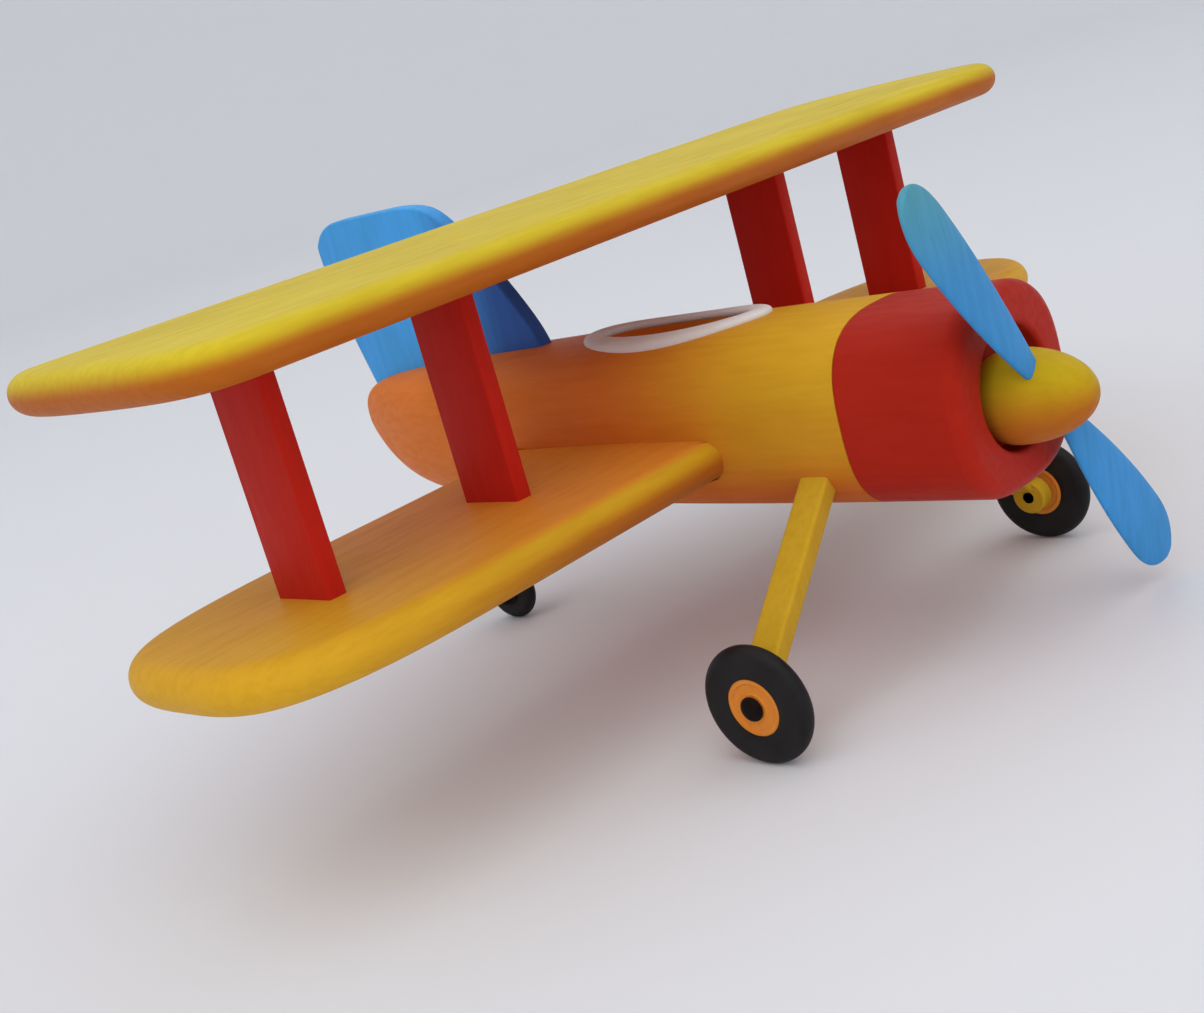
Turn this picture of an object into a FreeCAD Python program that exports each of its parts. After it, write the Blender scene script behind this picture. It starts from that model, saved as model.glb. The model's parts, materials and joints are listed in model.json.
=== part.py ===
import FreeCAD, Part
import Sketcher
import math
import os

# Toy biplane of painted wood. Millimetres; +X towards the nose, +Y to port, +Z up.
# The origin is on the ground under the middle of the model.

DIMENSIONS = {
    # fuselage, from its flat front to the end of its tail
    "fuselage_front": 79.2,
    "fuselage_tail": -132.5,
    "fuselage_half_width": 26.4,
    "fuselage_top": 91.2,
    "fuselage_bottom": 41.8,
    "fuselage_width_taper": 0.72,
    "fuselage_top_fall": 4.4,
    "fuselage_bottom_rise": 5.6,
    "fuselage_tail_height": 71.8,
    "fuselage_corner_share": 0.75,
    # cowl, a block with an oval dish in its front
    "cowl_length": 33.5,
    "cowl_mouth_half_width": 15.8,
    "cowl_mouth_half_height": 15.2,
    "cowl_recess_depth": 8.0,
    "cowl_edge_radius": 4.2,
    "cowl_mouth_radius": 1.5,
    "cowl_dowel_radius": 2.5,
    "cowl_dowel_length": 26.0,
    "cowl_dowel_spread": 15.0,
    # cockpit
    "cockpit_centre": 12.6,
    "cockpit_half_length": 26.0,
    "cockpit_half_width": 9.6,
    "cockpit_floor": 70.0,
    "cockpit_cut_height": 40.0,
    "ring_half_length": 32.4,
    "ring_half_width": 15.8,
    "ring_height": 1.8,
    # wings
    "upper_wing_centre": -7.3,
    "upper_wing_chord": 90.4,
    "upper_wing_half_span": 166.0,
    "upper_wing_tip": 27.0,
    "upper_wing_tip_power": 3.8,
    "upper_wing_thickness": 10.7,
    "upper_wing_bottom": 122.1,
    "lower_wing_centre": -1.0,
    "lower_wing_chord": 82.6,
    "lower_wing_half_span": 172.0,
    "lower_wing_tip": 76.0,
    "lower_wing_tip_power": 3.2,
    "lower_wing_thickness": 11.6,
    "lower_wing_bottom": 54.5,
    "wing_dowel_radius": 2.5,
    "wing_dowel_reach": 42.0,
    "wing_dowel_spread": 22.0,
    # struts
    "strut_centre": -1.1,
    "strut_chord": 20.2,
    "strut_thickness": 5.1,
    "strut_outer": 129.4,
    "strut_inner": 67.1,
    "strut_mortise": 3.5,
    # tail fin
    "fin_thickness": 5.2,
    "fin_tenon_front": -48.5,
    "fin_tenon_back": -107.8,
    "fin_tenon_top": 84.0,
    "fin_mortise_floor": 79.0,
    "fin_mortise_depth": 20.0,
    "fin_edge_radius": 1.2,
    # main wheels and their legs
    "axle_station": 71.7,
    "wheel_radius": 15.0,
    "wheel_track_half": 70.8,
    "tyre_width": 5.0,
    "hub_radius": 7.3,
    "hub_width": 4.4,
    "peg_radius": 2.0,
    "peg_length": 10.4,
    "peg_head_radius": 3.1,
    "peg_head_height": 1.4,
    "running_clearance": 0.05,
    "leg_width": 8.7,
    "leg_thickness": 5.2,
    "leg_top_station": 66.4,
    "leg_top_reach": 16.0,
    "leg_top_height": 58.4,
    "leg_foot_station": 69.2,
    "leg_foot_reach": 65.8,
    "leg_foot_height": 17.6,
    "leg_boss_radius": 5.0,
    "leg_boss_length": 5.0,
    "leg_boss_face": 67.9,
    "leg_dowel_radius": 1.6,
    "leg_dowel_length": 16.0,
    "leg_dowel_sink": 14.0,
    # tail wheel and its fork
    "tail_station": -86.9,
    "tail_wheel_radius": 10.1,
    "tail_hub_radius": 4.9,
    "tail_tyre_width": 5.0,
    "tail_hub_width": 5.0,
    "tail_pin_radius": 1.2,
    "fork_chord": 8.0,
    "fork_width": 13.0,
    "fork_gap": 7.0,
    "fork_gap_top": 23.0,
    "fork_top": 52.0,
    "fork_dowel_radius": 2.0,
    "fork_dowel_length": 20.0,
    "fork_dowel_height": 46.0,
    # propeller, on a shaft along X
    "shaft_height": 64.2,
    "shaft_radius": 2.0,
    "shaft_front": 127.0,
    "shaft_back": 91.0,
    "bush_radius": 3.5,
    "bush_length": 10.0,
    "pocket_radius": 6.5,
    "washer_radius": 6.0,
    "washer_thickness": 0.8,
    "collar_radius": 4.5,
    "collar_length": 3.0,
    "end_play": 0.3,
    "spinner_radius": 11.6,
    "spinner_widest": 112.4,
    "spinner_tip": 132.5,
    "spinner_back_length": 12.0,
    "blade_station": 120.4,
    "blade_tilt": 36.5,
    "blade_pitch": 6.2,
    "blade_root": 4.5,
    "blade_tip_radius": 71.4,
    "blade_belly_share": 0.78,
    "blade_half_width": 8.75,
    "blade_root_half_width": 1.8,
    "blade_thickness": 2.8,
}

RIGHT = -1
LEFT = 1
ALONG_X = FreeCAD.Rotation(FreeCAD.Vector(0, 1, 0), 90)
ALONG_Y = FreeCAD.Rotation(FreeCAD.Vector(1, 0, 0), -90)
ALONG_Z = FreeCAD.Rotation()
RECESS_FLOOR = "Sizes.fuselage_front + Sizes.cowl_length - Sizes.cowl_recess_depth"
BUSH_BACK = f"{RECESS_FLOOR} - Sizes.bush_length"

doc = FreeCAD.newDocument("biplane")
sheet = doc.addObject("Spreadsheet::Sheet", "Sizes")
for row, (alias, value) in enumerate(DIMENSIONS.items(), start=1):
    sheet.set(f"A{row}", alias)
    sheet.set(f"B{row}", str(value))
    sheet.setAlias(f"B{row}", alias)
doc.recompute()

pieces = {}


def size(alias):
    """The number in the sheet's cell of this name."""
    return float(sheet.get(alias))


def vec(x, y, z=0.0):
    return FreeCAD.Vector(x, y, z)


def bind(item, formulas):
    for target, formula in formulas.items():
        item.setExpression(target, formula)
    return item


def bind_base(item, rotation, start):
    """Place an item with its base point tied to three formulas."""
    item.Placement = FreeCAD.Placement(vec(0, 0), rotation)
    for axis, formula in zip("xyz", start):
        item.setExpression(f"Placement.Base.{axis}", formula)
    return item


def box(name, lengths, corner):
    item = doc.addObject("Part::Box", name)
    bind(item, dict(zip(("Length", "Width", "Height"), lengths)))
    return bind_base(item, ALONG_Z, corner)


def rod(name, radius, length, start, rotation):
    item = doc.addObject("Part::Cylinder", name)
    bind(item, {"Radius": radius, "Height": length})
    return bind_base(item, rotation, start)


def fuse(name, items):
    item = doc.addObject("Part::MultiFuse", name)
    item.Shapes = items
    return item


def common(name, items):
    item = doc.addObject("Part::MultiCommon", name)
    item.Shapes = items
    return item


def cut(name, base, tools):
    """The base with every tool taken away."""
    item = doc.addObject("Part::Cut", name)
    item.Base = base
    item.Tool = tools[0] if len(tools) == 1 else fuse(f"{name}_tools", tools)
    return item


def group(name, items):
    item = doc.addObject("Part::Compound", name)
    item.Links = items
    return item


def keep(node, item):
    """Name the finished object of one sub-part."""
    item.Label = node
    pieces[node] = item
    return item


def plane(body, role):
    """One of a body's own origin planes."""
    return next(f for f in body.Origin.OriginFeatures if f.Role == role)


def sketch(body, name, role, offset=None):
    """A sketch on an origin plane of its body, moved off it by a formula."""
    item = body.newObject("Sketcher::SketchObject", name)
    item.AttachmentSupport = [(plane(body, role), "")]
    item.MapMode = "FlatFace"
    if offset:
        item.setExpression("AttachmentOffset.Base.z", offset)
    return item


def rounded_rectangle(item, half_width, low, high, corner):
    """Constrain a rectangle with four round corners, centred on the sketch's vertical axis."""
    inner = half_width - corner
    base, top = low + corner, high - corner
    corners = [(inner, base, 270), (inner, top, 0), (-inner, top, 90), (-inner, base, 180)]
    for x, y, turn in corners:
        circle = Part.Circle(vec(x, y), vec(0, 0, 1), corner)
        item.addGeometry(Part.ArcOfCircle(circle, math.radians(turn), math.radians(turn + 90)))
    sides = [
        ((half_width, base), (half_width, top)),
        ((inner, high), (-inner, high)),
        ((-half_width, top), (-half_width, base)),
        ((-inner, low), (inner, low)),
    ]
    for start, end in sides:
        item.addGeometry(Part.LineSegment(vec(*start), vec(*end)))
    for index in range(4):
        item.addConstraint(Sketcher.Constraint("Tangent", index, 2, 4 + index, 1))
        item.addConstraint(Sketcher.Constraint("Tangent", 4 + index, 2, (index + 1) % 4, 1))
    item.addConstraint(Sketcher.Constraint("Vertical", 4))
    item.addConstraint(Sketcher.Constraint("Horizontal", 5))
    for index in range(1, 4):
        item.addConstraint(Sketcher.Constraint("Equal", 0, index))
    item.addConstraint(Sketcher.Constraint("Symmetric", 4, 1, 6, 2, -2))
    item.addConstraint(Sketcher.Constraint("Radius", 0, corner))
    width = item.addConstraint(Sketcher.Constraint("DistanceX", 6, 2, 4, 1, 2 * half_width))
    height = item.addConstraint(Sketcher.Constraint("DistanceY", 7, 1, 5, 1, high - low))
    item.addConstraint(Sketcher.Constraint("DistanceY", -1, 1, 7, 1, low))
    return width, height


def outline(item, runs):
    """Draw a closed outline: two points in a run are a line, more are a smooth curve."""
    for run in runs:
        points = [vec(*point) for point in run]
        if len(points) == 2:
            item.addGeometry(Part.LineSegment(*points))
        else:
            curve = Part.BSplineCurve()
            curve.interpolate(points)
            item.addGeometry(curve)
    for index in range(len(runs)):
        follower = (index + 1) % len(runs)
        item.addConstraint(Sketcher.Constraint("Coincident", index, 2, follower, 1))


def pad(body, name, profile, length, midplane=False):
    item = body.newObject("PartDesign::Pad", name)
    item.Profile = profile
    item.setExpression("Length", length)
    item.Midplane = midplane
    return item


def edges_where(feature, test):
    """Names of the edges whose every point passes a test."""
    found = []
    for index, edge in enumerate(feature.Shape.Edges, start=1):
        points = edge.discretize(5)
        if all(test(point) for point in points):
            found.append(f"Edge{index}")
    return found


def fillet(body, name, base, names, radius):
    item = body.newObject("PartDesign::Fillet", name)
    item.Base = (base, names)
    item.Radius = radius
    return item


# ---------------------------------------------------------------- fuselage and cowl

def fuselage_section(along, swell):
    """Half width, bottom and top of the fuselage at a share of its length."""
    body_fade = (1 - along ** 11.2) ** 0.8
    top_fade = (1 - along ** 18) ** 0.42
    tail_height = size("fuselage_tail_height")
    half_width = size("fuselage_half_width") * (1 - size("fuselage_width_taper") * along ** 3)
    top_line = size("fuselage_top") - size("fuselage_top_fall") * along ** 3
    bottom_line = size("fuselage_bottom") + size("fuselage_bottom_rise") * along ** 2
    top = tail_height + (top_line - tail_height) * top_fade
    bottom = tail_height - (tail_height - bottom_line) * body_fade
    return half_width * body_fade + swell, bottom - swell, top + swell


def fuselage_block(name, swell=0.0):
    """Loft of rounded rectangles from the flat front to the egg-shaped tail end."""
    body = doc.addObject("PartDesign::Body", name)
    shares = (0.0, 0.2, 0.4, 0.55, 0.67, 0.76, 0.83, 0.88, 0.92, 0.95, 0.97, 0.985, 0.995, 1.0)
    end_share = 0.9985
    sections = []
    for index, share in enumerate(shares):
        station = f"Sizes.fuselage_front - {share} * (Sizes.fuselage_front - Sizes.fuselage_tail)"
        section = sketch(body, f"{name}_section_{index}", "YZ_Plane", station)
        half_width, low, high = fuselage_section(share * end_share, swell)
        corner = size("fuselage_corner_share") * min(half_width, (high - low) / 2)
        rounded_rectangle(section, half_width, low, high, corner)
        sections.append(section)
    loft = body.newObject("PartDesign::AdditiveLoft", f"{name}_loft")
    loft.Profile = sections[0]
    loft.Sections = sections[1:]
    loft.Ruled = True
    return body


def cowl_block():
    """Rounded block with an oval dish in its front, every front edge rounded."""
    body = doc.addObject("PartDesign::Body", "cowl_block")
    section = sketch(body, "cowl_outline", "YZ_Plane", "Sizes.fuselage_front")
    half_width, low, high = fuselage_section(0.0, 0.0)
    corner = size("fuselage_corner_share") * (high - low) / 2
    rounded_rectangle(section, half_width, low, high, corner)
    block = pad(body, "cowl_pad", section, "Sizes.cowl_length")
    doc.recompute()
    front_face = size("fuselage_front") + size("cowl_length")
    names = edges_where(block, lambda point: abs(point.x - front_face) < 1e-4)
    rounded = fillet(body, "cowl_edge", block, names, size("cowl_edge_radius"))
    front = "Sizes.fuselage_front + Sizes.cowl_length"
    mouth = sketch(body, "cowl_mouth", "YZ_Plane", front)
    wide = size("cowl_mouth_half_width")
    middle = (high + low) / 2
    mouth.addGeometry(Part.Ellipse(vec(0, middle), wide, size("cowl_mouth_half_height")))
    doc.recompute()
    recess = body.newObject("PartDesign::Pocket", "cowl_recess")
    recess.Profile = mouth
    recess.setExpression("Length", "Sizes.cowl_recess_depth")
    doc.recompute()
    if recess.Shape.Volume > rounded.Shape.Volume - 1:
        raise RuntimeError("the cowl's recess cuts nothing")

    def is_mouth(point):
        reach = math.hypot(point.y, point.z - middle)
        return abs(point.x - front_face) < 1e-4 and reach < wide + 1

    names = edges_where(recess, is_mouth)
    fillet(body, "cowl_lip", recess, names, size("cowl_mouth_radius"))
    return body


def cowl_dowels():
    """Two dowels along X, half in the cowl and half in the fuselage."""
    start = "Sizes.fuselage_front - Sizes.cowl_dowel_length / 2"
    height = "(Sizes.fuselage_top + Sizes.fuselage_bottom) / 2"
    rods = []
    for name, sign in (("right", "-"), ("left", "")):
        spot = (start, f"{sign}Sizes.cowl_dowel_spread", height)
        rods.append(rod(f"cowl_dowel_{name}", "Sizes.cowl_dowel_radius",
                        "Sizes.cowl_dowel_length", spot, ALONG_X))
    return rods


# ---------------------------------------------------------------- cockpit

def oval_block(name, half_length, half_width, floor, height):
    """Upright oval block centred on the cockpit."""
    ring = doc.addObject("Part::Ellipse", f"{name}_oval")
    bind(ring, {"MajorRadius": half_length, "MinorRadius": half_width})
    bind_base(ring, ALONG_Z, ("Sizes.cockpit_centre", "0", floor))
    block = doc.addObject("Part::Extrusion", name)
    block.Base = ring
    block.DirMode = "Normal"
    block.Solid = True
    block.setExpression("LengthFwd", height)
    return block


# ---------------------------------------------------------------- wings

def tip_curve(centre, half_chord, inner, half_span, side, power, count=8):
    """Superellipse from the leading edge round the wing tip to the trailing edge."""
    points = []
    for index in range(2 * count + 1):
        angle = math.pi / 2 * (1 - index / count)
        across = math.copysign(abs(math.sin(angle)) ** (2 / power), angle)
        out = abs(math.cos(angle)) ** (2 / power)
        points.append((centre + half_chord * across, side * (inner + (half_span - inner) * out)))
    return points


def wing_board(name, kind, sides):
    """A flat board with superelliptic tips, rounded all round its edge."""
    body = doc.addObject("PartDesign::Body", name)
    centre = size(f"{kind}_wing_centre")
    half_chord = size(f"{kind}_wing_chord") / 2
    half_span = size(f"{kind}_wing_half_span")
    inner = half_span - size(f"{kind}_wing_tip")
    lead, trail = centre + half_chord, centre - half_chord
    power = size(f"{kind}_wing_tip_power")
    tips = [tip_curve(centre, half_chord, inner, half_span, side, power) for side in sides]
    if len(tips) == 2:
        port, starboard = tips
        starboard.reverse()
        runs = [port, [port[-1], starboard[0]], starboard, [starboard[-1], port[0]]]
    else:
        tip = tips[0]
        runs = [[(lead, 0), tip[0]], tip, [tip[-1], (trail, 0)], [(trail, 0), (lead, 0)]]
    plan = sketch(body, f"{name}_plan", "XY_Plane", f"Sizes.{kind}_wing_bottom")
    outline(plan, runs)
    board = pad(body, f"{name}_pad", plan, f"Sizes.{kind}_wing_thickness")
    doc.recompute()
    bottom = size(f"{kind}_wing_bottom")
    levels = (bottom, bottom + size(f"{kind}_wing_thickness"))

    def is_rim(point):
        on_face = min(abs(point.z - level) for level in levels) < 1e-4
        return on_face and abs(point.y) < half_span + 1

    names = [n for n in edges_where(board, is_rim)
             if any(abs(p.y) > 1 for p in board.Shape.getElement(n).discretize(3))]
    fillet(body, f"{name}_rim", board, names, 0.46 * size(f"{kind}_wing_thickness"))
    return body


def strut(node, side, station):
    """Upright plank whose ends stand in mortises in both wings."""
    sign = "-" if side == RIGHT else ""
    foot = "Sizes.lower_wing_bottom + Sizes.lower_wing_thickness - Sizes.strut_mortise"
    height = f"Sizes.upper_wing_bottom + Sizes.strut_mortise - ({foot})"
    corner = ("Sizes.strut_centre - Sizes.strut_chord / 2",
              f"{sign}Sizes.{station} - Sizes.strut_thickness / 2", foot)
    plank = box(node, ("Sizes.strut_chord", "Sizes.strut_thickness", height), corner)
    return keep(node, plank)


def wing_dowels():
    """Two dowels across the fuselage, ending in both lower wing halves."""
    height = "Sizes.lower_wing_bottom + Sizes.lower_wing_thickness / 2"
    rods = []
    for name, sign in (("front", "+"), ("back", "-")):
        spot = (f"Sizes.lower_wing_centre {sign} Sizes.wing_dowel_spread",
                "-Sizes.wing_dowel_reach", height)
        rods.append(rod(f"wing_dowel_{name}", "Sizes.wing_dowel_radius",
                        "2 * Sizes.wing_dowel_reach", spot, ALONG_Y))
    return rods


# ---------------------------------------------------------------- tail fin

def fin_plate():
    """Upright plate with a swept front edge and a rounded top, and a tenon below."""
    body = doc.addObject("PartDesign::Body", "fin_plate")
    side_view = sketch(body, "fin_outline", "XZ_Plane")
    foot_front, foot_back = -38.5, -119.8
    foot_level = size("fin_mortise_floor")
    leading = [(foot_front, 90.4), (-42.3, 99.5), (-50.5, 112.5), (-60.0, 125.0), (-68.8, 134.0)]
    crown = [(-68.8, 134.0), (-76.0, 137.8), (-85.9, 139.1), (-100.0, 139.3), (-114.2, 139.3)]
    corner = [(-114.2, 139.3), (-122.5, 138.2), (-127.9, 134.6), (-129.5, 129.0)]
    trailing = [(-129.5, 129.0), (-126.6, 107.0), (foot_back, size("fin_tenon_top"))]
    tenon_front, tenon_back = size("fin_tenon_front"), size("fin_tenon_back")
    tenon_top = size("fin_tenon_top")
    foot = [
        [(foot_back, tenon_top), (tenon_back, tenon_top)],
        [(tenon_back, tenon_top), (tenon_back, foot_level)],
        [(tenon_back, foot_level), (tenon_front, foot_level)],
        [(tenon_front, foot_level), (tenon_front, tenon_top)],
        [(tenon_front, tenon_top), (foot_front, tenon_top)],
        [(foot_front, tenon_top), (foot_front, 90.4)],
    ]
    outline(side_view, [leading, crown, corner, trailing] + foot)
    plate = pad(body, "fin_pad", side_view, "Sizes.fin_thickness", midplane=True)
    doc.recompute()
    face = size("fin_thickness") / 2
    above = size("fuselage_top") - 1
    names = edges_where(plate, lambda point: abs(abs(point.y) - face) < 1e-4 and point.z > above)
    fillet(body, "fin_edges", plate, names, size("fin_edge_radius"))
    return body


def fin_mortise():
    """The slot in the fuselage that the fin's tenon fills."""
    length = "Sizes.fin_tenon_front - Sizes.fin_tenon_back"
    return box("fin_mortise", (length, "Sizes.fin_thickness", "Sizes.fin_mortise_depth"),
               ("Sizes.fin_tenon_back", "-Sizes.fin_thickness / 2", "Sizes.fin_mortise_floor"))


# ---------------------------------------------------------------- legs and wheels

def leg_line(side):
    """Ends of a landing leg's centre line, foot first."""
    foot = vec(size("leg_foot_station"), side * size("leg_foot_reach"), size("leg_foot_height"))
    top = vec(size("leg_top_station"), side * size("leg_top_reach"), size("leg_top_height"))
    return foot, top


def leg_blank(name, side):
    """Slanted plank with a round boss at its foot for the axle peg."""
    foot, top = leg_line(side)
    along = top - foot
    plank = doc.addObject("Part::Box", f"leg_plank_{name}")
    bind(plank, {"Length": "Sizes.leg_width", "Width": "Sizes.leg_thickness"})
    plank.Height = along.Length
    turn = FreeCAD.Rotation(vec(1, 0, 0), vec(0, 0, 0), along, "ZXY")
    shift = turn.multVec(vec(-size("leg_width") / 2, -size("leg_thickness") / 2, 0))
    plank.Placement = FreeCAD.Placement(foot + shift, turn)
    inner = "Sizes.leg_boss_face" if side == RIGHT else "Sizes.leg_boss_length - Sizes.leg_boss_face"
    spot = ("Sizes.axle_station", f"-({inner})", "Sizes.wheel_radius")
    boss = rod(f"leg_boss_{name}", "Sizes.leg_boss_radius", "Sizes.leg_boss_length", spot, ALONG_Y)
    return fuse(f"leg_blank_{name}", [plank, boss])


def leg_dowel(name, side):
    """Dowel along the leg's centre line, through the joint with the fuselage."""
    foot, top = leg_line(side)
    along = (top - foot).normalize()
    item = doc.addObject("Part::Cylinder", f"leg_dowel_{name}")
    bind(item, {"Radius": "Sizes.leg_dowel_radius", "Height": "Sizes.leg_dowel_length"})
    start = top - along * size("leg_dowel_sink")
    item.Placement = FreeCAD.Placement(start, FreeCAD.Rotation(vec(0, 0, 1), along))
    return item


def mirror_start(side, near, length):
    """Where a rod along +Y starts so that it spans near..near+length on its own side."""
    if side == LEFT:
        return near
    return f"-({near}) - ({length})"


def axle_peg(name, side):
    """Wooden peg glued in the leg's boss; its head keeps the wheel on."""
    near = "Sizes.wheel_track_half + Sizes.hub_width / 2 + Sizes.end_play - Sizes.peg_length"
    shank_spot = ("Sizes.axle_station", mirror_start(side, near, "Sizes.peg_length"),
                  "Sizes.wheel_radius")
    shank = rod(f"peg_shank_{name}", "Sizes.peg_radius", "Sizes.peg_length", shank_spot, ALONG_Y)
    head_near = "Sizes.wheel_track_half + Sizes.hub_width / 2 + Sizes.end_play"
    head_spot = ("Sizes.axle_station", mirror_start(side, head_near, "Sizes.peg_head_height"),
                 "Sizes.wheel_radius")
    head = rod(f"peg_head_{name}", "Sizes.peg_head_radius", "Sizes.peg_head_height",
               head_spot, ALONG_Y)
    return keep(f"axle_peg_{name}", fuse(f"axle_peg_{name}", [shank, head]))


def ring_about_y(name, outer, inner, width, centre, height, station):
    """Flat ring with its axis along Y, centred across its width."""
    start = (station, f"{centre} - ({width}) / 2", height)
    disc = rod(f"{name}_disc", outer, width, start, ALONG_Y)
    hole = rod(f"{name}_hole", inner, width, start, ALONG_Y)
    return cut(name, disc, [hole])


def round_tyre(name, outer, inner, width, centre, height, station):
    """Ring whose tread is a half circle across its whole width."""
    flank = f"({outer}) - ({width}) / 2"
    start = (station, f"{centre} - ({width}) / 2", height)
    web = rod(f"{name}_web", flank, width, start, ALONG_Y)
    tread = doc.addObject("Part::Torus", f"{name}_tread")
    bind(tread, {"Radius1": flank, "Radius2": f"({width}) / 2"})
    bind_base(tread, ALONG_Y, (station, centre, height))
    seat = rod(f"{name}_seat", inner, width, start, ALONG_Y)
    return cut(name, fuse(f"{name}_blank", [web, tread]), [seat])


def main_wheel(name, side):
    centre = "Sizes.wheel_track_half" if side == LEFT else "-Sizes.wheel_track_half"
    place = (centre, "Sizes.wheel_radius", "Sizes.axle_station")
    keep(f"wheel_hub_{name}",
         ring_about_y(f"wheel_hub_{name}", "Sizes.hub_radius",
                      "Sizes.peg_radius + Sizes.running_clearance", "Sizes.hub_width", *place))
    keep(f"tyre_{name}",
         round_tyre(f"tyre_{name}", "Sizes.wheel_radius", "Sizes.hub_radius",
                    "Sizes.tyre_width", *place))


def tail_wheel():
    place = ("0", "Sizes.tail_wheel_radius", "Sizes.tail_station")
    keep("tail_wheel_hub",
         ring_about_y("tail_wheel_hub", "Sizes.tail_hub_radius",
                      "Sizes.tail_pin_radius + Sizes.running_clearance",
                      "Sizes.tail_hub_width", *place))
    keep("tail_tyre",
         round_tyre("tail_tyre", "Sizes.tail_wheel_radius", "Sizes.tail_hub_radius",
                    "Sizes.tail_tyre_width", *place))


def tail_fork_blank():
    """Upright block with a slot for the tail wheel and round lower ends."""
    block = box("fork_block",
                ("Sizes.fork_chord", "Sizes.fork_width",
                 "Sizes.fork_top - Sizes.tail_wheel_radius"),
                ("Sizes.tail_station - Sizes.fork_chord / 2", "-Sizes.fork_width / 2",
                 "Sizes.tail_wheel_radius"))
    ends = rod("fork_ends", "Sizes.fork_chord / 2", "Sizes.fork_width",
               ("Sizes.tail_station", "-Sizes.fork_width / 2", "Sizes.tail_wheel_radius"),
               ALONG_Y)
    slot = box("fork_slot", ("2 * Sizes.fork_chord", "Sizes.fork_gap", "Sizes.fork_gap_top"),
               ("Sizes.tail_station - Sizes.fork_chord", "-Sizes.fork_gap / 2", "0"))
    return cut("fork_blank", fuse("fork_solid", [block, ends]), [slot])


# ---------------------------------------------------------------- propeller

def spinner_blank():
    """Egg: a long front half, and a shorter back half cut flat inside the cowl."""
    halves = []
    for name, reach, angles in (("front", "Sizes.spinner_tip - Sizes.spinner_widest", (0, 90)),
                                ("back", "Sizes.spinner_back_length", (-90, 0))):
        half = doc.addObject("Part::Ellipsoid", f"spinner_{name}")
        bind(half, {"Radius1": reach, "Radius2": "Sizes.spinner_radius",
                    "Radius3": "Sizes.spinner_radius"})
        half.Angle1, half.Angle2 = angles
        bind_base(half, ALONG_X, ("Sizes.spinner_widest", "0", "Sizes.shaft_height"))
        halves.append(half)
    egg = fuse("spinner_egg", halves)
    back = f"{RECESS_FLOOR} + Sizes.washer_thickness + Sizes.end_play"
    reach = "2 * Sizes.spinner_radius"
    trim = rod("spinner_trim", reach, reach,
               (f"{back} - {reach}", "0", "Sizes.shaft_height"), ALONG_X)
    return cut("spinner_blank", egg, [trim])


def blade_profile(side):
    """Half outline of a blade from root to tip, mirrored for the other side."""
    root = size("blade_root")
    tip = size("blade_tip_radius")
    narrow = size("blade_root_half_width")
    wide = size("blade_half_width")
    belly = root + size("blade_belly_share") * (tip - root)
    points = []
    steps = 6
    for index in range(steps):
        share = index / steps
        swell = math.sin(math.pi / 2 * share) ** 0.9
        points.append((side * (narrow + (wide - narrow) * swell), root + (belly - root) * share))
    for index in range(steps + 1):
        angle = math.pi / 2 * index / steps
        out = math.sin(angle) ** (2 / 2.4)
        points.append((side * wide * math.cos(angle), belly + (tip - belly) * out))
    return points


def blade(node, extra_turn):
    """Paddle blade: padded outline, pitched about its own length and tilted round the shaft."""
    body = doc.addObject("PartDesign::Body", node)
    plan = sketch(body, f"{node}_plan", "YZ_Plane")
    lead, trail = blade_profile(1), blade_profile(-1)
    trail.reverse()
    outline(plan, [lead, trail, [trail[-1], lead[0]]])
    pad(body, f"{node}_pad", plan, "Sizes.blade_thickness", midplane=True)
    pitch = FreeCAD.Rotation(vec(0, 0, 1), size("blade_pitch"))
    tilt = FreeCAD.Rotation(vec(1, 0, 0), size("blade_tilt") + extra_turn)
    spot = vec(size("blade_station"), 0, size("shaft_height"))
    body.Placement = FreeCAD.Placement(spot, tilt.multiply(pitch))
    return keep(node, body)


def ring_about_x(name, outer, inner, start, length):
    """Ring round the propeller shaft."""
    spot = (start, "0", "Sizes.shaft_height")
    disc = rod(f"{name}_disc", outer, length, spot, ALONG_X)
    hole = rod(f"{name}_hole", inner, length, spot, ALONG_X)
    return cut(name, disc, [hole])


# ---------------------------------------------------------------- assembly


def build_propeller():
    """Shaft, blades, spinner and collar turn; bush and washer stay with the cowl."""
    shaft = keep("propeller_shaft",
                 rod("propeller_shaft", "Sizes.shaft_radius",
                     "Sizes.shaft_front - Sizes.shaft_back",
                     ("Sizes.shaft_back", "0", "Sizes.shaft_height"), ALONG_X))
    upper = blade("propeller_blade_upper", 0)
    lower = blade("propeller_blade_lower", 180)
    keep("spinner", cut("spinner", spinner_blank(), [upper, lower, shaft]))
    bore = "Sizes.shaft_radius + Sizes.running_clearance"
    keep("shaft_bush", ring_about_x("shaft_bush", "Sizes.bush_radius", bore, BUSH_BACK,
                                    "Sizes.bush_length"))
    keep("thrust_washer", ring_about_x("thrust_washer", "Sizes.washer_radius", bore, RECESS_FLOOR,
                                       "Sizes.washer_thickness"))
    collar_start = f"{BUSH_BACK} - Sizes.end_play - Sizes.collar_length"
    keep("shaft_collar", ring_about_x("shaft_collar", "Sizes.collar_radius",
                                      "Sizes.shaft_radius", collar_start,
                                      "Sizes.collar_length"))


def build_cowl(dowels):
    pocket = rod("cowl_pocket", "Sizes.pocket_radius", f"{BUSH_BACK} - Sizes.fuselage_front",
                 ("Sizes.fuselage_front", "0", "Sizes.shaft_height"), ALONG_X)
    bore = rod("cowl_bore", "Sizes.bush_radius", "Sizes.bush_length",
               (BUSH_BACK, "0", "Sizes.shaft_height"), ALONG_X)
    keep("cowl", cut("cowl", cowl_block(), [pocket, bore] + dowels))


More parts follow.
